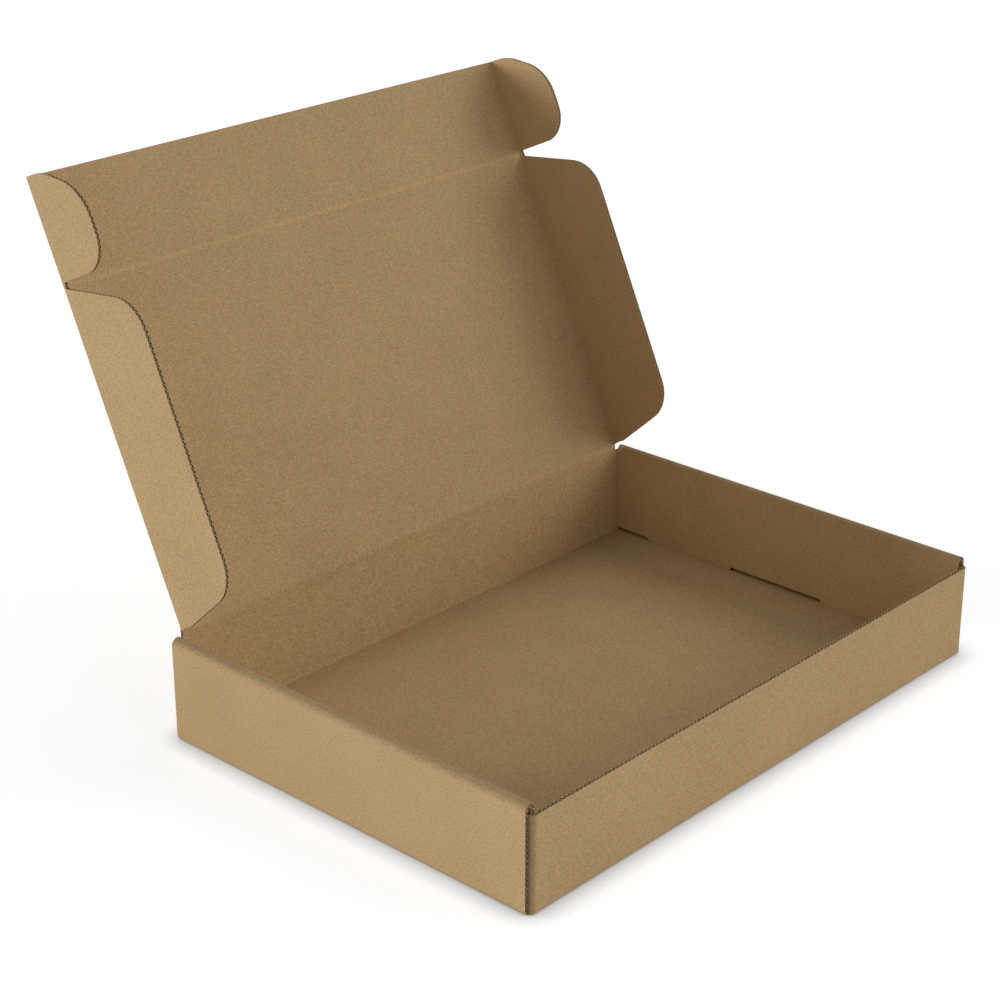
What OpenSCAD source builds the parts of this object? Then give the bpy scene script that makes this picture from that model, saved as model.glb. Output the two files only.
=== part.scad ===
// Corrugated mailer box: one die-cut sheet of fluted board, folded into a tray with
// rolled side walls and a hinged lid that carries dust flaps, a front flap and two ears.
// The lid stands open. X runs left to right, Y from front to back, Z up.
// The origin is the middle of the tray's underside.

/* [Tray] */
// Length over the side walls, left to right
body_l = 400; // [250:1:600]
// Depth over the front and back walls
body_w = 276; // [180:1:450]
// Height to the top of the rolled side walls
body_h = 64; // [50:1:120]
// How far the front wall's cut edge lies below the top of the side walls
front_drop = 5.3; // [3:0.1:12]

/* [Board] */
// Thickness of the fluted board
board_t = 2.1; // [1.6:0.1:3]
// Thickness of each liner of the board
liner_t = 0.3; // [0.2:0.05:0.4]
// Distance from one flute to the next
flute_pitch = 3.2; // [2.4:0.1:6]
// Half width of the solid web at the foot of each flute
flute_web = 0.35; // [0.25:0.05:0.5]

/* [Folds] */
// Outer radius of the folds under the walls and along the outside of the rolled walls
fold_r = 3; // [3:0.1:5]
// Outer radius of the fold along the inside of the rolled walls
roll_r = 2.4; // [2.2:0.1:3.2]
// Outer radius of the upright folds at the corners
corner_r = 3.1; // [3.1:0.1:6]
// Free space on each face of a panel that lies between two others
slip = 0.1; // [0.05:0.05:0.5]
// Free space between a panel and the next one at a hinged crease
crease_gap = 0.25; // [0.2:0.05:0.5]

/* [Rolled side walls] */
// Distance from the end of a side wall to its first tab
tab_inset = 29.5; // [15:0.5:60]
// Space between the two tabs of a side wall
tab_space = 74; // [40:1:120]
// Lift of the inner panel's lower edge beside the tabs
tab_lift = 2.4; // [1:0.1:5]
// Length of the slope from that edge down to a tab
tab_slope = 3.5; // [1:0.1:8]
// Free space round each tab in its slot in the floor
slot_gap = 0.3; // [0.2:0.1:1]
// Length of the corner flaps that are caught inside the side walls
corner_flap_l = 52; // [30:1:80]
// Radius of the corner flaps' free corners
corner_flap_r = 14; // [5:1:25]

/* [Lid] */
// Slope of the open lid above the horizontal, leaning back
lid_slope = 65.3; // [20:0.1:110]
// Space between each side of the lid and the inside of the tray
lid_side_gap = 2.4; // [1:0.1:6]
// Space between the closed lid's free edge and the front wall
lid_front_gap = 3.85; // [2:0.05:10]
// Space between the closed lid and the top of the side walls
lid_rest_gap = 0.3; // [0.1:0.1:1]
// Length of the front flap, from its crease to the lid's free edge
front_flap_l = 63; // [40:0.5:90]

/* [Dust flaps] */
// Space between a dust flap's free edge and the floor when the lid is closed
dust_floor_gap = 3.5; // [2:0.1:20]
// Slope of a dust flap's two ends
dust_taper = 18; // [10:1:25]
// Radius of a dust flap's free corners
dust_r = 24; // [8:1:26]
// How far behind the lid's hinge the slope of a dust flap's back end starts at the fold
dust_back_lead = 1.7; // [0:0.1:4]
// Space between the lid's hinge and the cut-off foot of that slope
dust_back_gap = 1.4; // [1.4:0.1:6]
// Space between the front flap's crease and the dust flaps
dust_front_gap = 2; // [1.5:0.1:6]

/* [Ears] */
// Width of the ears, from fold to outermost point
ear_w = 45.8; // [30:0.1:50]
// Length of the straight stretch between an ear's fold and its round side
ear_rise = 3.9; // [1:0.1:8]
// Radius of the ear's curve where it leaves the lid's free edge
ear_edge_r = 38; // [20:1:40]
// Radius of the ear's curve at its outermost point
ear_top_r = 29; // [16:1:30]
// Distance from the lid's free edge to the middle of that curve
ear_top_inset = 35; // [25:0.5:40]
// Radius of an ear's corner near the crease
ear_small_r = 18.8; // [6:0.2:20]
// Space between the front flap's crease and the ears
ear_gap = 1; // [0.5:0.1:3]

/* [Hidden] */
$fn = 64;
eps = 0.01;
outside_brown = [0.70, 0.57, 0.41];
inside_brown = [0.62, 0.49, 0.34];

half_l = body_l / 2;
half_w = body_w / 2;
roll_w = 3 * board_t + 2 * slip;
front_h = body_h - front_drop;
// The side walls end where the upright corner folds begin
side_l = body_w - 2 * (corner_r + slip);
// Outer face of the corner flaps, just inside the outer side panels
flap_face = half_l - board_t - slip;
// Half length of the straight part of the front and back walls
end_half = flap_face - corner_r;

core_t = board_t - 2 * liner_t;
flute_half = flute_pitch / 2 - flute_web;
flute_h = core_t * flute_half / (flute_pitch / 2);

hinge_y = half_w - board_t / 2;
hinge_z = body_h + lid_rest_gap + board_t / 2;
back_h = hinge_z - board_t / 2 - crease_gap;

lid_half = half_l - roll_w - lid_side_gap;
fold_x = lid_half - board_t / 2;
plate_half = fold_x - board_t / 2 - crease_gap;
lid_reach = body_w - 1.5 * board_t - lid_front_gap;
lid_l = lid_reach - front_flap_l;

dust_w = hinge_z - board_t - dust_floor_gap;
dust_y0 = dust_back_gap;
dust_start = -dust_back_lead;
dust_y1 = lid_l - dust_front_gap;
ear_y0 = lid_l + ear_gap;

// Open flutes side by side along X, in a strip of board whose outer face lies on Y = 0
module flute_row(length) {
    count = floor(length / flute_pitch);
    start = -(count - 1) / 2 * flute_pitch;
    for (i = [0 : count - 1]) translate([start + i * flute_pitch, 0]) {
        translate([-flute_pitch / 4, liner_t])
            polygon([[-flute_half, 0], [flute_half, 0], [0, flute_h]]);
        translate([flute_pitch / 4, board_t - liner_t])
            polygon([[-flute_half, 0], [0, -flute_h], [flute_half, 0]]);
    }
}

// Section of a quarter fold about the origin, from the -Y side round to the +X side
module fold_section(r) {
    difference() {
        intersection() {
            circle(r);
            translate([0, -r]) square(r);
        }
        circle(r - board_t);
    }
}

// Section of a rolled side wall on the +X side: X across, Y up
module side_section() {
    outer_h = body_h - 2 * fold_r;
    inner_x = half_l - roll_w;
    inner_h = body_h - roll_r - board_t - tab_lift;
    translate([half_l - fold_r, fold_r]) fold_section(fold_r);
    difference() {
        translate([half_l - board_t, fold_r]) square([board_t, outer_h]);
        translate([half_l, fold_r + outer_h / 2]) rotate(90) flute_row(outer_h);
    }
    translate([half_l - fold_r, body_h - fold_r]) rotate(90) fold_section(fold_r);
    translate([inner_x + roll_r, body_h - board_t]) square([roll_w - fold_r - roll_r, board_t]);
    translate([inner_x + roll_r, body_h - roll_r]) rotate(180) fold_section(roll_r);
    difference() {
        translate([inner_x, slot_gap]) square([board_t, body_h - roll_r - slot_gap]);
        translate([inner_x + board_t, body_h - roll_r - inner_h / 2]) rotate(90) flute_row(inner_h);
    }
}

// Outline of the waste below the inner panel between tabs: a flat edge with sloping ends
module tab_waste(y0, y1) {
    top = board_t + tab_lift;
    polygon([[y0, -eps], [y0, board_t], [y0 + tab_slope, top],
        [y1 - tab_slope, top], [y1, board_t], [y1, -eps]]);
}

module side_wall() {
    tab_in = tab_space / 2;
    tab_out = side_l / 2 - tab_inset;
    difference() {
        rotate([90, 0, 0]) linear_extrude(side_l, center = true) side_section();
        for (span = [[-side_l, -tab_out], [-tab_in, tab_in], [tab_out, side_l]])
            translate([half_l - roll_w - eps, 0, 0]) rotate([90, 0, 90])
                linear_extrude(board_t + 2 * eps) tab_waste(span[0], span[1]);
    }
}

// Plan of an end wall with its outer face on Y = 0: wall, upright folds and corner flaps
module end_plan(fluted) {
    difference() {
        translate([-end_half, 0]) square([2 * end_half, board_t]);
        if (fluted) flute_row(2 * end_half);
    }
    for (side = [0, 1]) mirror([side, 0]) {
        translate([end_half, corner_r]) fold_section(corner_r);
        translate([flap_face - board_t, corner_r]) square([board_t, corner_flap_l]);
    }
}

// Room above and beyond a corner flap's outline, seen from the side
module corner_flap_waste() {
    top = body_h - fold_r - slip;
    reach = corner_r + corner_flap_l;
    difference() {
        translate([corner_r + slip, 0]) square([corner_flap_l, body_h + board_t]);
        hull() {
            translate([0, fold_r]) square([corner_r, top - fold_r]);
            for (z = [fold_r + corner_flap_r, top - corner_flap_r])
                translate([reach - corner_flap_r, z]) circle(corner_flap_r);
        }
    }
}

// An end wall of height h on the front side; its corner flaps lie in the side walls. Beyond
// the width of the lid it is no higher than they are.
module end_wall(h, fluted) {
    flap_top = body_h - fold_r - slip;
    translate([0, -half_w, 0]) difference() {
        translate([0, 0, fold_r]) linear_extrude(h - fold_r) end_plan(fluted);
        for (side = [0, 1]) mirror([side, 0, 0]) {
            translate([end_half + eps, 0, 0]) rotate([90, 0, 90])
                linear_extrude(corner_r + eps) corner_flap_waste();
            translate([lid_half, -eps, flap_top]) cube([half_l, half_w, body_h]);
        }
    }
    for (side = [0, 1]) mirror([side, 0, 0])
        translate([end_half, corner_r - half_w, board_t / 2])
            linear_extrude(fold_r - board_t / 2 + eps) fold_section(corner_r);
    translate([0, fold_r - half_w, fold_r]) rotate([90, 0, 90])
        linear_extrude(2 * end_half, center = true) rotate(-90) fold_section(fold_r);
}

module floor_panel() {
    tab_in = tab_space / 2;
    tab_out = side_l / 2 - tab_inset;
    inner_x = half_l - roll_w;
    difference() {
        translate([fold_r - half_l, fold_r - half_w, 0])
            cube([body_l - 2 * fold_r, body_w - 2 * fold_r, board_t]);
        for (side = [0, 1], end = [0, 1]) mirror([side, 0, 0]) mirror([0, end, 0])
            translate([inner_x - slot_gap, tab_in - slot_gap, -eps])
                cube([board_t + 2 * slot_gap, tab_out - tab_in + 2 * slot_gap, board_t + 2 * eps]);
    }
}

module tray() color(outside_brown) {
    floor_panel();
    end_wall(front_h, true);
    mirror([0, 1, 0]) end_wall(back_h, false);
    side_wall();
    mirror([1, 0, 0]) side_wall();
}

// Puts a piece that is drawn flat into the open lid: Y runs up the lid, Z to its inside
module on_lid() translate([0, hinge_y, hinge_z]) rotate([lid_slope, 0, 0]) children();

// A fluted panel of the lid from y0 to y1, with a round nose along its crease at y0
module lid_panel(y0, y1) {
    translate([0, y0, 0]) rotate([0, 90, 0])
        cylinder(h = 2 * plate_half, r = board_t / 2, center = true);
    translate([0, y1, 0]) rotate([90, 0, 0]) linear_extrude(y1 - y0) difference() {
        translate([-plate_half, -board_t / 2]) square([2 * plate_half, board_t]);
        translate([0, -board_t / 2]) flute_row(2 * plate_half);
    }
}

module lid() color(inside_brown) on_lid() lid_panel(0, lid_l - board_t / 2 - crease_gap);

module front_flap() color(inside_brown) on_lid() lid_panel(lid_l, lid_reach);

// A flap that stands up from the lid's right side: a fluted panel cut to the outline given
// as its child, X up the lid and Y away from the fold, with a round nose along the fold
module side_flap(y0, y1, width) {
    translate([fold_x, y0, 0]) rotate([-90, 0, 0]) cylinder(h = y1 - y0, r = board_t / 2);
    intersection() {
        translate([fold_x + board_t / 2, y1, width / 2]) rotate([90, 0, 0])
            linear_extrude(y1 - y0) rotate(90) difference() {
                translate([-width / 2, 0]) square([width, board_t]);
                flute_row(width);
            }
        translate([fold_x + board_t, 0, 0]) rotate([90, 0, -90]) mirror([1, 0, 0])
            linear_extrude(2 * board_t) children();
    }
}

// Long flap with sloping ends and round free corners; the foot of its back end is cut off
// square, to clear the back wall when the lid is closed
module dust_outline() {
    lean = dust_w * tan(dust_taper);
    round_x = dust_r * (1 - sin(dust_taper)) / cos(dust_taper);
    intersection() {
        hull() {
            translate([dust_start, 0]) square([dust_y1 - dust_start, eps]);
            for (x = [dust_start + lean + round_x, dust_y1 - lean - round_x])
                translate([x, dust_w - dust_r]) circle(dust_r);
        }
        translate([dust_y0, 0]) square([dust_y1 - dust_y0, dust_w + eps]);
    }
}

module dust_flap() side_flap(dust_y0, dust_y1, dust_w) dust_outline();

module left_dust_flap() color(outside_brown) on_lid() mirror([1, 0, 0]) dust_flap();

module right_dust_flap() color(inside_brown) on_lid() dust_flap();

// Quarter of a disc on the side of the free edge
module quarter_disc(r) {
    intersection() {
        circle(r);
        square(r);
    }
}

// Ear whose side sweeps round from the free edge in two arcs, with a corner near the crease
module ear_outline() {
    hull() {
        translate([ear_y0, 0]) square([lid_reach - ear_y0, ear_rise]);
        translate([ear_y0 + ear_small_r, ear_w - ear_small_r]) circle(ear_small_r);
        translate([lid_reach - ear_top_inset, ear_w - ear_top_r]) quarter_disc(ear_top_r);
        translate([lid_reach - ear_edge_r, ear_rise]) quarter_disc(ear_edge_r);
    }
}

module ear() side_flap(ear_y0, lid_reach, ear_w) ear_outline();

module left_ear() color(outside_brown) on_lid() mirror([1, 0, 0]) ear();

module right_ear() color(inside_brown) on_lid() ear();

tray();
lid();
front_flap();
left_dust_flap();
right_dust_flap();
left_ear();
right_ear();
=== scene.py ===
"""Looks of the corrugated mailer box: one die-cut sheet of fluted kraft board, folded up.

The sheet is dressed panel by panel, in the order in which the box is put together. Each panel
is an outside liner, an inside liner and, along its cut edges, the flutes between them.
Sizes are in millimetres. Meshes, lamps and the camera are in metres.
"""
import math

import bmesh
import bpy
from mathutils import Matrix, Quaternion, Vector, geometry


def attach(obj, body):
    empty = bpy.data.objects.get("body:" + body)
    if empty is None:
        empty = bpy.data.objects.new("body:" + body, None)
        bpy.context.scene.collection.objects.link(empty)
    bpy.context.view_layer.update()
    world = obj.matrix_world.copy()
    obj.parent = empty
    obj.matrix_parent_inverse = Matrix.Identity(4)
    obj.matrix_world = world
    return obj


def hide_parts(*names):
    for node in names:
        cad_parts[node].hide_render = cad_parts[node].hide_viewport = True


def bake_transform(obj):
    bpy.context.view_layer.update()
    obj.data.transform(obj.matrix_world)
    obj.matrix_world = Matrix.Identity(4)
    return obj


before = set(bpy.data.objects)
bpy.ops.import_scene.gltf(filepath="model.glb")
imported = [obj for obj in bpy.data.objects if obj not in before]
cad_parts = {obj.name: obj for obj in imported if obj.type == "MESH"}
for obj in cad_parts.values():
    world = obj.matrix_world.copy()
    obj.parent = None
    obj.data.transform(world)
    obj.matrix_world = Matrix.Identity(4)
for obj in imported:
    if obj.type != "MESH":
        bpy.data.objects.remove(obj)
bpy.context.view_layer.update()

# The floor panel, the middle of the sheet. It is fluted kraft board: two paper liners glued
# to a wavy paper core. Four slots near its sides take the tabs of the rolled walls.
body_l = 400.0
body_w = 276.0
board_t = 2.1
liner_t = 0.17
fold_r = 3.0
half_l = body_l / 2
half_w = body_w / 2
slip = 0.1
roll_w = 3 * board_t + 2 * slip

# Points that are no further apart than this are one point
same_place = 0.001

# Each wall starts with a flat margin beside its fold, so the floor's own panel ends before that
margin = 1.0
floor_half_l = half_l - fold_r - margin
floor_half_w = half_w - fold_r - margin
tab_y0 = 37.0
tab_y1 = 105.3
slot_gap = 0.3
slot_x0 = half_l - roll_w - slot_gap
slot_x1 = half_l - roll_w + board_t + slot_gap
slot_y0 = tab_y0 - slot_gap
slot_y1 = tab_y1 + slot_gap

# The paper's colours, the shades of its grain as shares of them, and how much painted shade the
# folds get
outside_tan = (0.530, 0.363, 0.180)
inside_tan = (0.495, 0.333, 0.163)
# Painted shade: a dark brown that stands in for the shade inside the board
core_shade_brown = (0.190, 0.124, 0.060)
dark_fibre = (0.72, 0.70, 0.66)
pale_fibre = (1.28, 1.30, 1.34)
warm_patch = (1.03, 0.99, 0.98)
cool_patch = (0.97, 1.01, 1.02)
painted_fold_shade = 0.3
smooth_up_to = math.radians(35)


def kraft(name, tan):
    """Kraft liner paper: tan pulp with a fine fibre speckle, soft clouds and a matte surface.

    Its colour is darkened by painted shade where its mesh's stretch is above 0, on the
    rolls and corner folds, and paled by painted light where it is below 0, along creases."""
    paper = bpy.data.materials.new(name)
    paper.use_nodes = True
    nodes = paper.node_tree.nodes
    links = paper.node_tree.links
    shader = nodes["Principled BSDF"]
    shader.inputs["Roughness"].default_value = 0.85
    shader.inputs["Specular IOR Level"].default_value = 0.25
    place = nodes.new("ShaderNodeTexCoord")

    def noise(scale, detail, roughness=0.5):
        grain = nodes.new("ShaderNodeTexNoise")
        for label, value in (("Scale", scale), ("Detail", detail), ("Roughness", roughness)):
            grain.inputs[label].default_value = value
        links.new(place.outputs["Object"], grain.inputs["Vector"])
        return grain.outputs["Fac"]

    def ramp(source, low_colour, high_colour):
        shades = nodes.new("ShaderNodeValToRGB")
        for end, position, colour in ((0, 0.3, low_colour), (1, 0.7, high_colour)):
            shades.color_ramp.elements[end].position = position
            shades.color_ramp.elements[end].color = (*colour, 1)
        links.new(source, shades.inputs["Fac"])
        return shades.outputs["Color"]

    # Light and dark fibres, with faint clouds among them
    fibres = noise(1100, 2, roughness=0.6)
    clouded = nodes.new("ShaderNodeMix")
    clouded.data_type = "FLOAT"
    clouded.inputs["Factor"].default_value = 0.12
    links.new(fibres, clouded.inputs["A"])
    links.new(noise(25, 3), clouded.inputs["B"])
    dark, pale = [[a * b for a, b in zip(tan, shade)] for shade in (dark_fibre, pale_fibre)]
    speckled = ramp(clouded.outputs["Result"], dark, pale)

    # Patches of a slightly warmer or cooler tan
    tinted = nodes.new("ShaderNodeVectorMath")
    tinted.operation = "MULTIPLY"
    links.new(speckled, tinted.inputs[0])
    links.new(ramp(noise(300, 1), warm_patch, cool_patch), tinted.inputs[1])

    # Painted shade where the mesh's stretch is above 0, painted light where it is below 0
    stretch = nodes.new("ShaderNodeAttribute")
    stretch.attribute_name = "stretch"
    shading_factor = nodes.new("ShaderNodeMath")
    shading_factor.operation = "MULTIPLY_ADD"
    shading_factor.inputs[1].default_value = -painted_fold_shade
    shading_factor.inputs[2].default_value = 1.0
    shaded = nodes.new("ShaderNodeVectorMath")
    shaded.operation = "SCALE"
    links.new(stretch.outputs["Fac"], shading_factor.inputs[0])
    links.new(tinted.outputs[0], shaded.inputs[0])
    links.new(shading_factor.outputs[0], shaded.inputs["Scale"])
    links.new(shaded.outputs[0], shader.inputs["Base Color"])

    # The fibres can just be felt
    bump = nodes.new("ShaderNodeBump")
    bump.inputs["Strength"].default_value = 0.25
    bump.inputs["Distance"].default_value = 0.0001
    links.new(fibres, bump.inputs["Height"])
    links.new(bump.outputs["Normal"], shader.inputs["Normal"])
    return paper


def along_section(section, s, depth):
    """Point at s along a folded section, depth from its middle towards the inside liner.

    The section starts at (0, 0) along +X. It is a list of legs, each with its length and the
    angle by which it turns to the left. Past its last leg the board runs straight on."""
    x = 0.0
    y = 0.0
    heading = 0.0
    for length, turn in section:
        part = min(s, length)
        bend = turn * part / length
        if turn:
            radius = length / turn
            x += radius * (math.sin(heading + bend) - math.sin(heading))
            y += radius * (math.cos(heading) - math.cos(heading + bend))
        else:
            x += part * math.cos(heading)
            y += part * math.sin(heading)
        heading += bend
        s -= part
    x += s * math.cos(heading)
    y += s * math.sin(heading)
    return x - depth * math.sin(heading), y + depth * math.cos(heading)


def folded(section, start, out, up, across):
    """Where the flat sheet's points (s, v) go once its section is folded, for any depth."""
    def place(s, v, depth):
        x, y = along_section(section, s, depth)
        return Vector(start) + x * Vector(out) + y * Vector(up) + v * Vector(across)
    return place


def divide(blank, direction, lines):
    """Divides a flat sheet along lines at those distances in that direction."""
    for line in lines:
        parts = blank.verts[:] + blank.edges[:] + blank.faces[:]
        bmesh.ops.bisect_plane(
            blank, geom=parts, dist=same_place, plane_co=direction * line, plane_no=direction)


def cut_blank(outline, s_lines=(), v_lines=()):
    """Flat sheet with that outline, divided along the lines at which it bends."""
    blank = bmesh.new()
    blank.faces.new([blank.verts.new((s, v, 0)) for s, v in outline])
    divide(blank, Vector((1, 0, 0)), s_lines)
    divide(blank, Vector((0, 1, 0)), v_lines)
    return blank


def add_liner(shell, blank, place, depths, stretch):
    """Adds a blank as a thin closed sheet of paper: its face is at the first depth in the board,
    and its glued side, drawn in the dark core paper as painted shade, at the second."""
    stretched = shell.verts.layers.float.get("stretch") or shell.verts.layers.float.new("stretch")
    sides = [{v: shell.verts.new(place(v.co.x, v.co.y, depth) / 1000) for v in blank.verts}
             for depth in depths]
    # Painted light and shade: the face's points carry how much of it the paper gets
    for v in blank.verts:
        sides[0][v][stretched] = stretch(v.co.x, v.co.y)
    for face in blank.faces:
        for number, side in enumerate(sides):
            shell.faces.new([side[v] for v in face.verts]).material_index = number
    for edge in blank.edges:
        if edge.is_boundary:
            a, b = edge.verts
            shell.faces.new((sides[0][a], sides[0][b], sides[1][b], sides[1][a]))


def finish_shell(shell, name, paper):
    """Turns closed sheets into an object that is smooth round its folds and sharp at its cuts."""
    bmesh.ops.recalc_face_normals(shell, faces=shell.faces[:])
    bmesh.ops.triangulate(shell, faces=[f for f in shell.faces if len(f.verts) > 4])
    mesh = bpy.data.meshes.new(name)
    shell.to_mesh(mesh)
    shell.free()
    mesh.shade_smooth()
    mesh.set_sharp_from_angle(angle=smooth_up_to)
    mesh.materials.append(paper)
    # Painted shade: the liners' glued sides take the dark core paper
    mesh.materials.append(shaded_core_paper)
    made = bpy.data.objects.new(name, mesh)
    bpy.context.scene.collection.objects.link(made)
    return made


def unpainted(s, v):
    """No light or shade is painted on the liner."""
    return 0.0


def dress_board(name, sheets, outside_stretch=unpainted, inside_stretch=unpainted):
    """Makes the outside and the inside liner of a panel from its blanks and their places.

    The painted shadings say how much painted shade each liner gets at (s, v), painted light below
    0."""
    made = []
    for side, slot, paper, stretch, depths in (
        ("outside", "kraft_outside", outside_kraft, outside_stretch,
         (-board_t / 2, -board_t / 2 + liner_t)),
        ("inside", "kraft_inside", inside_kraft, inside_stretch,
         (board_t / 2, board_t / 2 - liner_t)),
    ):
        shell = bmesh.new()
        for blank, place in sheets:
            add_liner(shell, blank, place, depths, stretch)
        liner = finish_shell(shell, name + "_" + side, paper)
        made.append(liner)
    return made


outside_kraft = kraft("outside_kraft", outside_tan)
inside_kraft = kraft("inside_kraft", inside_tan)
# Painted shade: the dark paper between the flutes and on the liners' glued sides
shaded_core_paper = kraft("shaded_core_paper", core_shade_brown)

floor_xs = [-floor_half_l, -slot_x1, -slot_x0, slot_x0, slot_x1, floor_half_l]
floor_ys = [-floor_half_w, -slot_y1, -slot_y0, slot_y0, slot_y1, floor_half_w]
floor_blank = bmesh.new()
for row in range(5):
    for column in range(5):
        if row in (1, 3) and column in (1, 3):
            continue
        x0, x1 = floor_xs[column:column + 2]
        y0, y1 = floor_ys[row:row + 2]
        corners = [(x0, y0), (x1, y0), (x1, y1), (x0, y1)]
        floor_blank.faces.new([floor_blank.verts.new((x, y, 0)) for x, y in corners])
bmesh.ops.remove_doubles(floor_blank, verts=floor_blank.verts[:], dist=same_place)


def on_floor(x, y, depth):
    """The floor lies flat, with its inside liner up."""
    return Vector((x, y, board_t / 2 + depth))


floor_pieces = dress_board("floor", [(floor_blank, on_floor)])
for piece in floor_pieces:
    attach(piece, "tray")
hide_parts("tray")

# The front and back walls, folded up from the floor along a scored crease. The front wall
# ends in a cut edge a little below the rolled side walls. The back wall runs on into the lid.
front_top = 58.7
corner_top = 60.9
quarter = math.pi / 2
fold_mid = fold_r - board_t / 2
fold_steps = 8

# The lid's crease lies in the middle of a strip that is made as a piece of its own
hinge_y = half_w - board_t / 2
hinge_z = 65.35
strip = 4.0
lid_edge = 190.5

# The walls end where the corner flaps turn off, inside the rolled side walls
corner_r = 3.1
flap_face = half_l - board_t - slip
end_half = flap_face - corner_r

# The wavy core paper between the liners, as it shows at a cut edge
flute_pitch = 3.2
flute_depth = 1.5
flute_paper = 0.48
flute_set_back = 0.04
points_per_flute = 12
cut_tan = (0.500, 0.352, 0.180)


def fold_lines(start, radius, steps=fold_steps):
    """Lines that divide a quarter fold of that middle radius, and where the fold ends."""
    length = radius * quarter
    return [start + length * step / steps for step in range(steps + 1)], start + length


def flute_tree():
    """Node tree that sets waves of core paper side by side along the cut edges of a board."""
    tree = bpy.data.node_groups.new("flutes_along_edges", "GeometryNodeTree")
    tree.interface.new_socket("Edges", in_out="INPUT", socket_type="NodeSocketGeometry")
    for label, size in (("Pitch", 3.2), ("Core Height", 1.8), ("Depth", 1.5), ("Paper", 0.5)):
        socket = tree.interface.new_socket(label, in_out="INPUT", socket_type="NodeSocketFloat")
        socket.default_value = size / 1000
    for label in ("Shaded Core Paper", "Cut Paper"):
        tree.interface.new_socket(label, in_out="INPUT", socket_type="NodeSocketMaterial")
    tree.interface.new_socket("Flutes", in_out="OUTPUT", socket_type="NodeSocketGeometry")
    given = tree.nodes.new("NodeGroupInput").outputs

    def step(kind, sources, **settings):
        """Adds one node. Sources are the numbers of its inputs and what each of them takes."""
        node = tree.nodes.new(kind)
        for setting, choice in settings.items():
            setattr(node, setting, choice)
        for number, source in sources.items():
            if isinstance(source, bpy.types.NodeSocket):
                tree.links.new(source, node.inputs[number])
            else:
                node.inputs[number].default_value = source
        return node.outputs

    def reckon(operation, a, b=0.0):
        return step("ShaderNodeMath", {0: a, 1: b}, operation=operation)[0]

    def vector(operation, a, b):
        """A vector sum, product or scaled vector, or the first number that comes out."""
        if operation == "SCALE":
            return step("ShaderNodeVectorMath", {0: a, 3: b}, operation=operation)[0]
        outcome = step("ShaderNodeVectorMath", {0: a, 1: b}, operation=operation)
        return outcome[1] if operation == "DOT_PRODUCT" else outcome[0]

    # A whole number of flutes along each edge, each as wide as its share of the edge
    curve = step("GeometryNodeMeshToCurve", {0: given["Edges"]})[0]
    length = step("GeometryNodeSplineLength", {})[0]
    count = reckon("MAXIMUM", reckon("ROUND", reckon("DIVIDE", length, given["Pitch"])), 1.0)
    counted = step("GeometryNodeStoreNamedAttribute", {
        0: curve, 2: "flute_count", 3: count}, data_type="INT", domain="CURVE")[0]
    number = step("GeometryNodeInputNamedAttribute", {0: "flute_count"}, data_type="INT")[0]
    points = reckon("ADD", reckon("MULTIPLY", number, float(points_per_flute)), 1.0)
    edge = step("GeometryNodeResampleCurve", {0: counted, 2: points}, mode="COUNT")[0]

    # The core paper's middle line, waved across the board just behind the cut
    upright, into = [
        step("GeometryNodeInputNamedAttribute", {0: label}, data_type="FLOAT_VECTOR")[0]
        for label in ("board_normal", "into_board")]
    along = step("GeometryNodeSplineParameter", {})[0]
    phase = reckon("MULTIPLY", reckon("MULTIPLY", along, number), 2 * math.pi)
    swing = reckon("MULTIPLY", reckon("SUBTRACT", given["Core Height"], given["Paper"]), 0.5)
    wave = vector("SCALE", upright, reckon("MULTIPLY", reckon("SINE", phase), swing))
    behind = vector("SCALE", into, flute_set_back / 1000)
    waved = step("GeometryNodeSetPosition", {0: edge, 3: vector("ADD", wave, behind)})[0]
    line = step("GeometryNodeCurveToMesh", {0: waved})[0]

    # The paper, drawn from that line into the board, given its thickness and closed
    sheet = step("GeometryNodeExtrudeMesh", {
        0: line, 2: into, 3: given["Depth"]}, mode="EDGES")[0]
    normal = step("GeometryNodeInputNormal", {})[0]
    lowered = vector("SCALE", normal, reckon("MULTIPLY", given["Paper"], -0.5))
    bent = step("GeometryNodeSetPosition", {0: sheet, 3: lowered})[0]
    raised = step("GeometryNodeExtrudeMesh", {0: bent, 3: given["Paper"], 4: False})[0]
    underside = step("GeometryNodeFlipFaces", {0: bent})[0]
    both = tree.nodes.new("GeometryNodeJoinGeometry")
    tree.links.new(raised, both.inputs[0])
    tree.links.new(underside, both.inputs[0])
    flutes = step("GeometryNodeMergeByDistance", {0: both.outputs[0], 2: same_place / 1000})[0]
    solid = step("GeometryNodeRealizeInstances", {0: flutes})[0]
    # Painted shade: the flutes are drawn in the dark core paper, and only their cut faces in cut
    # paper
    brown = step("GeometryNodeSetMaterial", {0: solid, 2: given["Shaded Core Paper"]})[0]
    cut = reckon("LESS_THAN", vector("DOT_PRODUCT", normal, into), -0.5)
    coloured = step("GeometryNodeSetMaterial", {0: brown, 1: cut, 2: given["Cut Paper"]})[0]
    result = tree.nodes.new("NodeGroupOutput")
    tree.links.new(coloured, result.inputs[0])
    return tree


def cut_edge(points, toward, place):
    """A cut edge of the flat sheet, given by points (s, v), with the board on toward's side.

    Returns its points on the folded board, each with the board's normal and the direction
    that leads into the board."""
    probe = 0.1
    found = []
    for i, (s, v) in enumerate(points):
        before = points[max(i - 1, 0)]
        after = points[min(i + 1, len(points) - 1)]
        aim = Vector((before[1] - after[1], after[0] - before[0])).normalized()
        if aim.dot(Vector(toward) - Vector((s, v))) < 0:
            aim = -aim
        here = place(s, v, 0)
        above = place(s, v, board_t / 2)
        further_in = place(s + aim.x * probe, v + aim.y * probe, 0)
        found.append((
            here / 1000, (above - here).normalized(), (further_in - here).normalized()))
    return found


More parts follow.
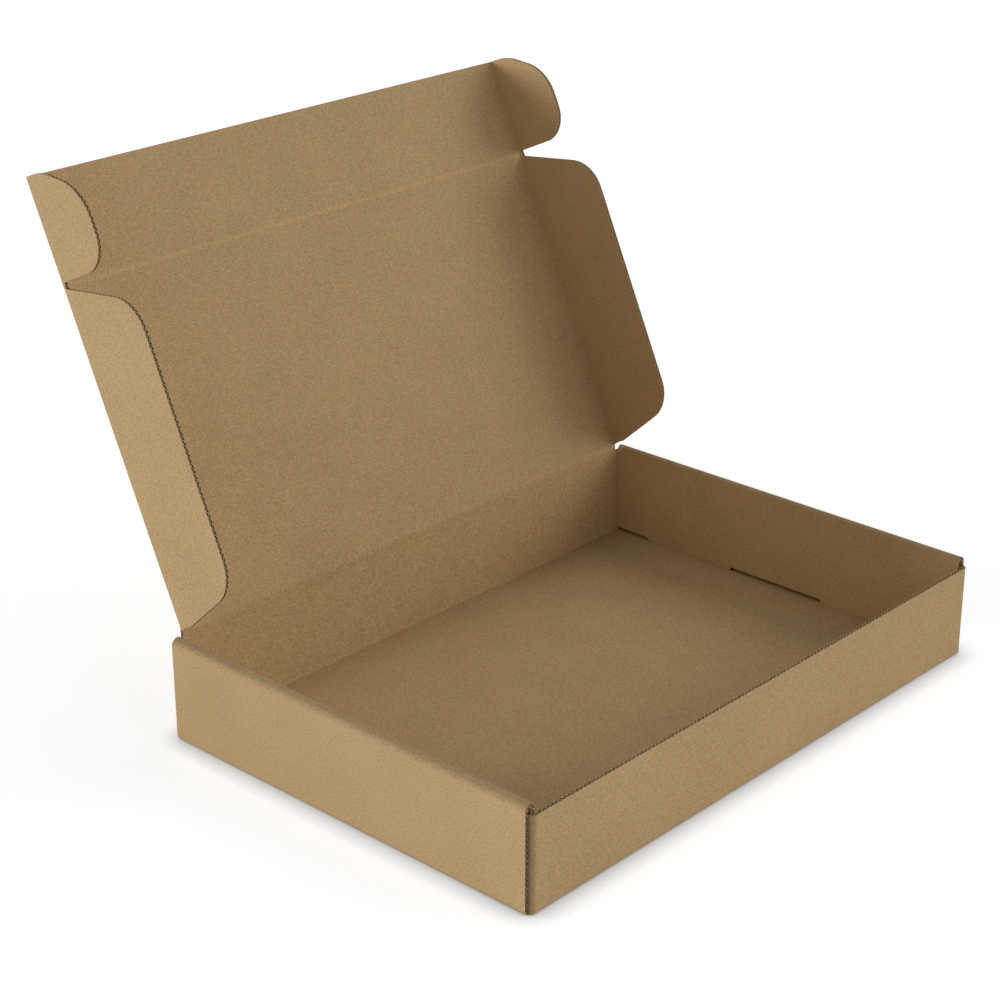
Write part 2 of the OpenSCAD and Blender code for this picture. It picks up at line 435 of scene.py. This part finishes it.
def dress_edges(name, edges):
    """Fills the cut edges of a panel with flutes and gives them as one plain mesh."""
    mesh = bpy.data.meshes.new(name + "_edges")
    points = [point for edge in edges for point in edge]
    pairs = []
    first = 0
    for edge in edges:
        pairs += [(first + i, first + i + 1) for i in range(len(edge) - 1)]
        first += len(edge)
    mesh.from_pydata([point[0] for point in points], pairs, [])
    for column, label in ((1, "board_normal"), (2, "into_board")):
        attribute = mesh.attributes.new(label, "FLOAT_VECTOR", "POINT")
        attribute.data.foreach_set("vector", [x for point in points for x in point[column]])
    guide = bpy.data.objects.new(name + "_edges", mesh)
    bpy.context.scene.collection.objects.link(guide)
    fluting = guide.modifiers.new("flutes", "NODES")
    fluting.node_group = fluted_edges
    sockets = {item.name: item.identifier for item in fluted_edges.interface.items_tree}
    for label, size in (
        ("Pitch", flute_pitch), ("Core Height", board_t - 2 * liner_t), ("Depth", flute_depth),
        ("Paper", flute_paper),
    ):
        fluting[sockets[label]] = size / 1000
    fluting[sockets["Shaded Core Paper"]] = shaded_core_paper
    fluting[sockets["Cut Paper"]] = cut_paper
    evaluated = guide.evaluated_get(bpy.context.evaluated_depsgraph_get())
    flutes = bpy.data.objects.new(name, bpy.data.meshes.new_from_object(evaluated))
    flutes.data.name = name
    while flutes.data.materials[0] is None:
        flutes.data.materials.pop(index=0)
    bpy.data.objects.remove(guide)
    bpy.data.meshes.remove(mesh)
    bpy.context.scene.collection.objects.link(flutes)
    return flutes


cut_paper = kraft("cut_paper", cut_tan)
fluted_edges = flute_tree()

wall_lines, wall_start = fold_lines(margin, fold_mid)
front_end = wall_start + front_top - fold_r
corner_end = wall_start + corner_top - fold_r
crease_end = wall_start + hinge_z - strip - fold_r
wall_section = [(margin, 0), (fold_mid * quarter, quarter), (body_w, 0)]
front_place, back_place = [
    folded(wall_section, (0, way * floor_half_w, board_t / 2), (0, way, 0), (0, 0, 1), (1, 0, 0))
    for way in (-1, 1)]
join_x = end_half - margin
front_outline = [
    (0, -end_half), (wall_start, -end_half), (wall_start, -join_x), (front_end, -join_x),
    (front_end, join_x), (wall_start, join_x), (wall_start, end_half), (0, end_half)]
back_outline = [
    (0, -end_half), (wall_start, -end_half), (wall_start, -join_x), (corner_end, -join_x),
    (corner_end, -lid_edge), (crease_end, -lid_edge), (crease_end, lid_edge),
    (corner_end, lid_edge), (corner_end, join_x), (wall_start, join_x), (wall_start, end_half),
    (0, end_half)]
end_walls = dress_board("end_walls", [
    (cut_blank(front_outline, wall_lines), front_place),
    (cut_blank(back_outline, wall_lines), back_place)])
wall_flutes = dress_edges("wall_flutes", [
    cut_edge([(front_end, -join_x), (front_end, join_x)], (0, 0), front_place),
    cut_edge([(corner_end, -join_x), (corner_end, -lid_edge)], (0, 0), back_place),
    cut_edge([(corner_end, lid_edge), (corner_end, join_x)], (0, 0), back_place)])
for piece in end_walls + [wall_flutes]:
    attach(piece, "tray")

# The four corner flaps, folded round from the ends of the front and back walls. They lie
# between the two panels of each rolled side wall, which holds the corners square.
corner_flap_l = 52.0
corner_flap_r = 14.0
corner_foot = 1.05
corner_mid = corner_r - board_t / 2
corner_lines, corner_start = fold_lines(margin, corner_mid)
corner_section = [(margin, 0), (corner_mid * quarter, quarter), (corner_flap_l, 0)]
# Painted shade round the corner fold, as a share of painted_fold_shade
most_corner_stretch = 1.5
flap_middle = (0, front_top / 2)


def arc(centre, radius, first, last, steps):
    """Points on an arc between two angles in degrees."""
    angles = [math.radians(first + (last - first) * step / steps) for step in range(steps + 1)]
    return [(centre[0] + radius * math.cos(a), centre[1] + radius * math.sin(a)) for a in angles]


corner_sheets = []
corner_edges = []
for front, top in ((-1, front_top), (1, corner_top)):
    for side in (-1, 1):
        reach = corner_start + corner_flap_l
        outline = [(0, fold_r), (margin, fold_r), (margin, corner_foot),
                   (corner_start, corner_foot), (corner_start, fold_r)]
        outline += arc((reach - corner_flap_r, fold_r + corner_flap_r), corner_flap_r, -90, 0, 8)
        outline += arc((reach - corner_flap_r, top - corner_flap_r), corner_flap_r, 0, 90, 8)
        outline += [(0, top)]
        place = folded(
            corner_section, (side * join_x, front * hinge_y, 0), (side, 0, 0), (0, -front, 0),
            (0, 0, 1))
        corner_sheets.append((cut_blank(outline, corner_lines), place))
        round_top = [(s, top) for s in corner_lines]
        corner_edges.append(cut_edge([(0, top)] + round_top, flap_middle, place))
        foot = [(s, corner_foot) for s in corner_lines]
        corner_edges.append(cut_edge(foot, flap_middle, place))


def corner_stretch(s, v):
    """Painted shade on the outside liner round the corner fold, darkest where the flap goes on."""
    return most_corner_stretch * min(max((s - margin) / (corner_start - margin), 0), 1)


corner_flaps = dress_board("corner_flaps", corner_sheets, corner_stretch)
corner_flutes = dress_edges("corner_flutes", corner_edges)
for piece in corner_flaps + [corner_flutes]:
    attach(piece, "tray")

# The rolled side walls. Each goes up from the floor, over the top and down again on the
# inside, so that the sheet's outside shows there too. Its two tabs lock into the floor.
side_half = (body_w - 2 * (corner_r + slip)) / 2
right_set_back = 1.0
tab_lift = 2.4
tab_slope = 3.5
middle_slope = 1.5
slope_steps = 6

# The roll turns over in a wide bend, runs a little down across the top, and turns down in a
# tight bend. Its inner panel then stands a double board's thickness and more from the outer.
roll_top = 64.5
outer_r = 4.2
inner_r = 2.15
outer_mid = outer_r - board_t / 2
inner_mid = inner_r - board_t / 2
outer_turn = math.radians(82)
inner_turn = math.pi - outer_turn
# Share of the outer bend over which the painted shade on the roll rises
stretched_part = 0.75
across = roll_w - board_t - outer_mid * (1 - math.cos(outer_turn))
top_run = (across - inner_mid * (1 + math.cos(outer_turn))) / math.sin(outer_turn)
rise = outer_mid * math.sin(outer_turn) + top_run * math.cos(outer_turn)
rise += inner_mid * (1 - math.sin(outer_turn))
outer_run = roll_top - board_t / 2 - rise - fold_r
bend_lines, outer_start = fold_lines(margin, fold_mid)
outer_end = outer_start + outer_run
top_start = outer_end + outer_mid * outer_turn
top_end = top_start + top_run
inner_start = top_end + inner_mid * inner_turn
bend_lines += [outer_end + (top_start - outer_end) * step / 10 for step in range(11)]
bend_lines += [top_end + (inner_start - top_end) * step / 8 for step in range(9)]
inner_top = roll_top - board_t / 2 - inner_mid
rest_end = inner_start + inner_top - board_t - tab_lift
tab_end = inner_start + inner_top - slot_gap
side_section = [
    (margin, 0), (fold_mid * quarter, quarter), (outer_run, 0),
    (outer_mid * outer_turn, outer_turn), (top_run, 0), (inner_mid * inner_turn, inner_turn),
    (roll_top, 0)]


def slope(y, way, length):
    """The rounded slope from a tab's end at y up to the lifted edge beside it."""
    parts = [step / slope_steps for step in range(slope_steps + 1)]
    return [(rest_end + tab_lift * (0.5 + 0.5 * math.cos(math.pi * part)), y + way * length * part)
            for part in parts]


lifts = [
    [(rest_end, -side_half)] + slope(-tab_y1, -1, tab_slope)[::-1],
    slope(-tab_y0, 1, middle_slope) + slope(tab_y0, -1, middle_slope)[::-1],
    slope(tab_y1, 1, tab_slope) + [(rest_end, side_half)]]
side_outline = [(0, -side_half)]
for number, lift in enumerate(lifts):
    if number:
        side_outline += [(tab_end, lifts[number - 1][-1][1]), (tab_end, lift[0][1])]
    side_outline += lift
side_outline.append((0, side_half))
side_sheets = []
side_edges = []
for side, back in ((-1, 0.0), (1, right_set_back)):
    place = folded(
        side_section, (side * floor_half_l, back, board_t / 2), (side, 0, 0), (0, 0, 1), (0, 1, 0))
    side_sheets.append((cut_blank(side_outline, bend_lines), place))
    for end in (-side_half, side_half):
        side_edges.append(cut_edge([(s, end) for s in [0] + bend_lines + [rest_end]],
                                   (rest_end / 2, 0), place))
    for lift in lifts:
        side_edges.append(cut_edge(lift, (0, 0), place))


def roll_stretch(s, v):
    """Painted shade on the outside liner over the roll: it rises through the outer bend, holds
    across the top and fades out down the inner bend.
    """
    rising = min(max((s - outer_end) / (stretched_part * (top_start - outer_end)), 0), 1)
    falling = min(max((inner_start - s) / (inner_start - top_end), 0), 1)
    return rising * falling


side_walls = dress_board("side_walls", side_sheets, roll_stretch)
side_flutes = dress_edges("side_flutes", side_edges)
for piece in side_walls + [side_flutes]:
    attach(piece, "tray")

# The hinge crease, scored across the sheet where the back wall goes on into the lid. The
# board bends here, in a strip made as a piece of its own.
lid_slope = math.radians(65.3)
lid_out = Vector((0, math.cos(lid_slope), math.sin(lid_slope)))
lid_in = Vector((0, -math.sin(lid_slope), math.cos(lid_slope)))
hinge = Vector((0, hinge_y, hinge_z))
fold_x = 190.05
flap_strip_x = fold_x - strip
hinge_bend = 3.0
hinge_section = [
    (strip - hinge_bend / 2, 0), (hinge_bend, lid_slope - quarter), (strip - hinge_bend / 2, 0)]
hinge_lines = [strip * 0.2, strip * 0.4]
hinge_lines += [strip - hinge_bend / 2 + hinge_bend * step / 10 for step in range(11)]

# The inside liner stands up in a low bead along the crease, and beside it painted light makes it
# paler
bead_w = 0.6
hinge_bead = 0.15
hinge_highlight = 0.3
score_half = 0.1

# Beside the dust flaps the strip ends just above the crease
flap_foot = 0.6
hinge_outline = [
    (0, -lid_edge), (strip + flap_foot, -lid_edge), (strip + flap_foot, -flap_strip_x),
    (2 * strip, -flap_strip_x), (2 * strip, flap_strip_x), (strip + flap_foot, flap_strip_x),
    (strip + flap_foot, lid_edge), (0, lid_edge)]
flat_hinge = folded(
    hinge_section, (0, hinge_y, hinge_z - strip), (0, 0, 1), (0, -1, 0), (1, 0, 0))


def bead(distance, height):
    """How far the inside liner stands up where it is pushed together along a crease."""
    return height * math.exp(-(distance / bead_w) ** 2)


def hinge_place(s, v, depth):
    """The hinge crease's bend, with the bead along it on the inside."""
    return flat_hinge(s, v, depth + bead(s - strip, hinge_bead) * (depth > 0))


def hinge_painted_light(s, v):
    """Painted light: the inside liner of the back wall is drawn paler towards the hinge crease."""
    return -hinge_highlight * min(s / strip, 1) ** 2 if s < strip + score_half else 0.0


hinge_crease = dress_board(
    "hinge_crease", [(cut_blank(hinge_outline, hinge_lines), hinge_place)],
    inside_stretch=hinge_painted_light)
hinge_bends = [0] + hinge_lines + [strip + flap_foot]
hinge_flutes = dress_edges("hinge_flutes", [
    cut_edge([(s, edge) for s in hinge_bends], (0, 0), hinge_place)
    for edge in (-lid_edge, lid_edge)])
for piece in hinge_crease + [hinge_flutes]:
    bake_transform(piece)


def on_lid(x, a, depth):
    """Point on the open lid: x across it, a up from the hinge, depth towards its inside."""
    return hinge + Vector((x, 0, 0)) + a * lid_out + depth * lid_in


# The lid panel, which leans back on the hinge crease. Its sides run on into the dust flaps,
# and its far edge into the front flap.
lid_l = 206.0
crease_half = 3.0
lid_outline = [
    (-flap_strip_x, strip), (flap_strip_x, strip), (flap_strip_x, lid_l - crease_half),
    (-flap_strip_x, lid_l - crease_half)]
lid_panel = dress_board("lid_panel", [(cut_blank(lid_outline), on_lid)])
for piece in lid_panel:
    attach(piece, "lid")
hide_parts("lid")

# The dust flaps along the lid's sides, and the scored creases on which they stand up. When
# the box is closed they go down just inside the rolled walls.
dust_w = 59.75
dust_start = -1.7
dust_y0 = 1.4
dust_y1 = 204.0
foot_top = 3.0
dust_taper = math.radians(18)
dust_r = 24.0

# The fold on which a flap stands up. Up to crease_top it belongs to the crease's own piece,
# which is cut back to notch_top beside the ears.
stand_r = 2.4
stand_mid = stand_r - board_t / 2
stand_start = fold_x - stand_mid
stand_lines, stand_end = fold_lines(stand_start - flap_strip_x, stand_mid)
crease_top = 4.5
notch_top = 2.5
stand_section = [(stand_start - flap_strip_x, 0), (stand_mid * quarter, quarter), (dust_w, 0)]
height_to_s = stand_end - stand_mid
crease_s = crease_top + height_to_s


def hull(points):
    """The points that lie on the outline round all of them."""
    return [points[i] for i in geometry.convex_hull_2d([Vector(p) for p in points])]


def stand_place(side):
    """The fold along one side of the lid, and the flap that stands up from it."""
    start = hinge + Vector((side * flap_strip_x, 0, 0))
    return folded(stand_section, start, (side, 0, 0), lid_in, lid_out)


def cut_away(blank, level, side):
    """Cuts a flat sheet straight through the point at level, and drops what is on that side."""
    parts = blank.verts[:] + blank.edges[:] + blank.faces[:]
    bmesh.ops.bisect_plane(
        blank, geom=parts, plane_co=(*level, 0), plane_no=(*side, 0), clear_outer=True)


def rim(blank, crease):
    """The cut edge round a flap, from its crease and back to it, split at sharp corners."""
    nearby = 0.01
    sharp_turn = 0.4
    follow = {}
    for edge in blank.edges:
        if edge.is_boundary and max(abs(v.co.x - crease) for v in edge.verts) > nearby:
            a, b = edge.verts
            follow.setdefault(a, []).append(b)
            follow.setdefault(b, []).append(a)
    here = min((v for v in follow if abs(v.co.x - crease) < nearby), key=lambda v: v.co.y)
    runs = [[tuple(here.co.xy)]]
    last = None
    while True:
        onward = [v for v in follow[here] if v is not last]
        if not onward or (last and abs(here.co.x - crease) < nearby):
            return runs
        if last and (here.co - last.co).angle(onward[0].co - here.co) > sharp_turn:
            runs.append([tuple(here.co.xy)])
        last, here = here, onward[0]
        runs[-1].append(tuple(here.co.xy))


def dress_flap(side, body, crease_name, crease_blank, crease_ends, blank, middle):
    """Dresses a flap that stands up at one side, and the crease that joins it to its parent."""
    place = stand_place(side)
    crease = dress_board(crease_name, [(crease_blank, place)])
    crease.append(dress_edges(
        crease_name + "_flutes", [cut_edge(run, middle, place) for run in crease_ends]))
    for piece in crease:
        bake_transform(piece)
    flap = dress_board(body, [(blank, place)])
    flap.append(dress_edges(
        body + "_flutes", [cut_edge(run, middle, place) for run in rim(blank, crease_s)]))
    for piece in flap:
        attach(piece, body)
    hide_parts(body)


lean = math.tan(dust_taper)
dust_round = dust_r * (1 - math.sin(dust_taper)) / math.cos(dust_taper)
dust_points = [(0, dust_start), (0, dust_y1)]
for a in (dust_start + dust_w * lean + dust_round, dust_y1 - dust_w * lean - dust_round):
    dust_points += arc((dust_w - dust_r, a), dust_r, -90, 90, 24)
dust_blank = cut_blank(hull(dust_points))
cut_away(dust_blank, (crease_top, 0), (-1, 0))
cut_away(dust_blank, (0, dust_y0), (0, -1))
for vertex in dust_blank.verts:
    vertex.co.x += height_to_s
dust_crease_outline = [
    (0, flap_foot), (height_to_s + foot_top, flap_foot), (crease_s, dust_y0),
    (crease_s, dust_y1 - crease_top * lean),
    (height_to_s + notch_top, dust_y1 - notch_top * lean), (height_to_s + notch_top, dust_y1),
    (0, dust_y1)]
dust_middle = (dust_w / 2, lid_l / 2)
dust_ends = [
    [(s, flap_foot) for s in [0] + stand_lines + [height_to_s + foot_top]] + [(crease_s, dust_y0)],
    dust_crease_outline[3:5]]
dust_crease_blank = cut_blank(dust_crease_outline, stand_lines)
for side, word in ((-1, "left"), (1, "right")):
    dress_flap(
        side, word + "_dust_flap", word + "_dust_crease", dust_crease_blank, dust_ends,
        dust_blank, dust_middle)

# The front flap's crease, a scored line across the lid. At its ends the fold of the lid's
# sides runs on through the notch between a dust flap and an ear.
lid_reach = 269.0
ear_y0 = 207.0
crease_bead = 0.12
# Painted highlight along the front flap's crease: how much paler, how far below it and how wide
crease_highlight = 0.4
highlight_below = 0.9
highlight_w = 1.1
line_gap = 0.3

# The section across the lid: up one flap, over the lid between the two folds, down the other
fold_width = stand_mid * quarter
lead_in = 100.0
across_section = [
    (lead_in, 0), (fold_width, quarter), (2 * stand_start, 0), (fold_width, quarter),
    (lead_in, 0)]
mid_s = lead_in + fold_width + stand_start
edge_s = height_to_s + notch_top
front_crease_outline = [
    (mid_s - flap_strip_x, lid_l - crease_half), (mid_s + flap_strip_x, lid_l - crease_half),
    (mid_s + flap_strip_x, dust_y1), (mid_s + flap_strip_x + edge_s, dust_y1),
    (mid_s + flap_strip_x + edge_s, ear_y0), (mid_s + flap_strip_x, ear_y0),
    (mid_s + flap_strip_x, lid_l + crease_half), (mid_s - flap_strip_x, lid_l + crease_half),
    (mid_s - flap_strip_x, ear_y0), (mid_s - flap_strip_x - edge_s, ear_y0),
    (mid_s - flap_strip_x - edge_s, dust_y1), (mid_s - flap_strip_x, dust_y1)]
across_lines = []
for start in (lead_in, lead_in + fold_width + 2 * stand_start):
    across_lines += fold_lines(start, stand_mid)[0]
crease_lines = [lid_l + step * line_gap for step in range(-9, 6)]
flat_across = folded(
    across_section, hinge + Vector((-fold_x, 0, 0)) + (lead_in + stand_mid) * lid_in,
    -lid_in, (1, 0, 0), lid_out)


def across_place(s, v, depth):
    """The sheet across the lid, with the bead along the front flap's crease."""
    return flat_across(s, v, depth + bead(v - lid_l, crease_bead) * (depth > 0))


def front_crease_highlight(s, v):
    """Painted highlight: the inside liner is drawn paler along the front flap's crease, beside its
    bead.
    """
    return -crease_highlight * math.exp(-((v - lid_l + highlight_below) / highlight_w) ** 2)


front_crease = dress_board(
    "front_flap_crease",
    [(cut_blank(front_crease_outline, across_lines, crease_lines), across_place)],
    inside_stretch=front_crease_highlight)
front_crease.append(dress_edges("front_flap_crease_flutes", [
    cut_edge([(s, dust_y1), (s, ear_y0)], (mid_s, lid_l), across_place)
    for s in (mid_s - flap_strip_x - edge_s, mid_s + flap_strip_x + edge_s)]))
for piece in front_crease:
    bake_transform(piece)

# The front flap, the strip of the sheet beyond that crease. Its cut edge comes down just
# behind the front wall when the box is closed.
front_flap_outline = [
    (-flap_strip_x, lid_l + crease_half), (flap_strip_x, lid_l + crease_half),
    (flap_strip_x, lid_reach), (-flap_strip_x, lid_reach)]
front_flap = dress_board("front_flap", [(cut_blank(front_flap_outline), on_lid)])
front_flap.append(dress_edges("front_flap_flutes", [
    cut_edge([(-flap_strip_x, lid_reach), (flap_strip_x, lid_reach)], (0, lid_l), on_lid)]))
for piece in front_flap:
    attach(piece, "front_flap")
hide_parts("front_flap")

# The ears, rounded flaps at the front flap's ends, on creases in line with those of the dust
# flaps. They go down in front of those when the box is closed.
ear_w = 45.8
ear_rise = 3.9
ear_small_r = 18.8
ear_top_r = 29.0
ear_top_inset = 35.0
ear_edge_r = 38.0
ear_points = [(0, ear_y0), (ear_rise, ear_y0), (0, lid_reach), (ear_rise, lid_reach)]
ear_points += arc((ear_w - ear_small_r, ear_y0 + ear_small_r), ear_small_r, -90, 90, 32)
ear_points += arc((ear_w - ear_top_r, lid_reach - ear_top_inset), ear_top_r, 0, 90, 20)
ear_points += arc((ear_rise, lid_reach - ear_edge_r), ear_edge_r, 0, 90, 24)
ear_blank = cut_blank(hull(ear_points))
ear_crease_blank = cut_blank(hull(ear_points))
cut_away(ear_blank, (crease_top, 0), (-1, 0))
cut_away(ear_crease_blank, (crease_top, 0), (1, 0))
for vertex in ear_blank.verts:
    vertex.co.x += height_to_s
for vertex in ear_crease_blank.verts:
    vertex.co.x = vertex.co.x + height_to_s if vertex.co.x > same_place else 0
divide(ear_crease_blank, Vector((1, 0, 0)), stand_lines)
ear_middle = (ear_w / 2, (ear_y0 + lid_reach) / 2)
ear_ends = [[(s, a) for s in [0] + stand_lines + [crease_s]] for a in (ear_y0, lid_reach)]
for side, word in ((-1, "left"), (1, "right")):
    dress_flap(
        side, word + "_ear", word + "_ear_crease", ear_crease_blank, ear_ends,
        ear_blank, ear_middle)

# The studio: a white ground that keeps the box's soft shadow, a white room and six broad,
# soft lamps. What the camera sees of ground and room is white; their light isn't.
ground_mesh = bpy.data.meshes.new("ground")
ground_half = 9
ground_corners = [
    (x * ground_half, y * ground_half, 0) for x, y in ((-1, -1), (1, -1), (1, 1), (-1, 1))]
ground_mesh.from_pydata(ground_corners, [], [(0, 1, 2, 3)])
ground = bpy.data.objects.new("ground", ground_mesh)
bpy.context.scene.collection.objects.link(ground)


def seen(tree):
    """1 for what the camera sees, also in a mirror or through glass, and 0 for other light."""
    path = tree.nodes.new("ShaderNodeLightPath")
    direct = tree.nodes.new("ShaderNodeMath")
    direct.operation = "MAXIMUM"
    tree.links.new(path.outputs["Is Camera Ray"], direct.inputs[0])
    tree.links.new(path.outputs["Is Glossy Ray"], direct.inputs[1])
    either = tree.nodes.new("ShaderNodeMath")
    either.operation = "MAXIMUM"
    tree.links.new(direct.outputs[0], either.inputs[0])
    tree.links.new(path.outputs["Is Transmission Ray"], either.inputs[1])
    return either.outputs[0]


white = bpy.data.materials.new("white_ground")
white.use_nodes = True
white.node_tree.nodes.clear()
contact = white.node_tree.nodes.new("ShaderNodeAmbientOcclusion")
contact.inputs["Color"].default_value = (1, 1, 1, 1)
contact.inputs["Distance"].default_value = 0.014
glow = white.node_tree.nodes.new("ShaderNodeEmission")
glow.inputs["Strength"].default_value = 0.76
pale = white.node_tree.nodes.new("ShaderNodeBsdfDiffuse")
pale.inputs["Color"].default_value = (0.46, 0.46, 0.46, 1)
both = white.node_tree.nodes.new("ShaderNodeAddShader")
lit = white.node_tree.nodes.new("ShaderNodeBsdfDiffuse")
lit.inputs["Color"].default_value = (0.88, 0.88, 0.88, 1)
choice = white.node_tree.nodes.new("ShaderNodeMixShader")
surface = white.node_tree.nodes.new("ShaderNodeOutputMaterial")
for source, target in (
    (contact.outputs["Color"], glow.inputs["Color"]), (glow.outputs[0], both.inputs[0]),
    (pale.outputs[0], both.inputs[1]), (seen(white.node_tree), choice.inputs[0]),
    (lit.outputs[0], choice.inputs[1]), (both.outputs[0], choice.inputs[2]),
    (choice.outputs[0], surface.inputs[0]),
):
    white.node_tree.links.new(source, target)
ground_mesh.materials.append(white)

world = bpy.data.worlds.new("room")
bpy.context.scene.world = world
world.use_nodes = True
room = world.node_tree.nodes["Background"]
room.inputs["Color"].default_value = (1, 1, 1, 1)
world.node_tree.links.new(seen(world.node_tree), room.inputs["Strength"])

lamp_distance = 3
lamp_spread = math.radians(40)
for name, azimuth, elevation, strength in (
    ("front_lamp", 0, 20, 0.185), ("front_right_lamp", 45, 20, 0.317),
    ("right_lamp", 90, 45, 0.195), ("high_back_lamp", 180, 70, 0.144),
    ("left_back_lamp", 225, 4, 0.909), ("left_lamp", 270, 20, 0.150),
):
    lamp = bpy.data.lights.new(name, "SUN")
    lamp.angle = lamp_spread
    lamp.energy = math.pi * strength
    holder = bpy.data.objects.new(name, lamp)
    turn = math.radians(azimuth)
    lift = math.radians(elevation)
    toward = Vector((
        math.sin(turn) * math.cos(lift), -math.cos(turn) * math.cos(lift), math.sin(lift)))
    holder.location = toward * lamp_distance
    holder.rotation_mode = "QUATERNION"
    holder.rotation_quaternion = (-toward).to_track_quat("-Z", "Y")
    bpy.context.scene.collection.objects.link(holder)

# The camera, at the photograph's viewing angle.
camera = bpy.data.cameras.new("camera")
camera.lens = 84.742
camera.sensor_width = 36
camera_holder = bpy.data.objects.new("camera", camera)
camera_holder.location = (-0.94807, -0.80819, 0.66759)
view_along = Vector((0.673987, 0.62175, -0.39896))
camera_holder.rotation_mode = "QUATERNION"
camera_roll = Quaternion((0, 0, 1), math.radians(-0.07))
camera_holder.rotation_quaternion = view_along.to_track_quat("-Z", "Y") @ camera_roll
bpy.context.scene.collection.objects.link(camera_holder)
bpy.context.scene.camera = camera_holder
bpy.context.scene.view_settings.view_transform = "Standard"
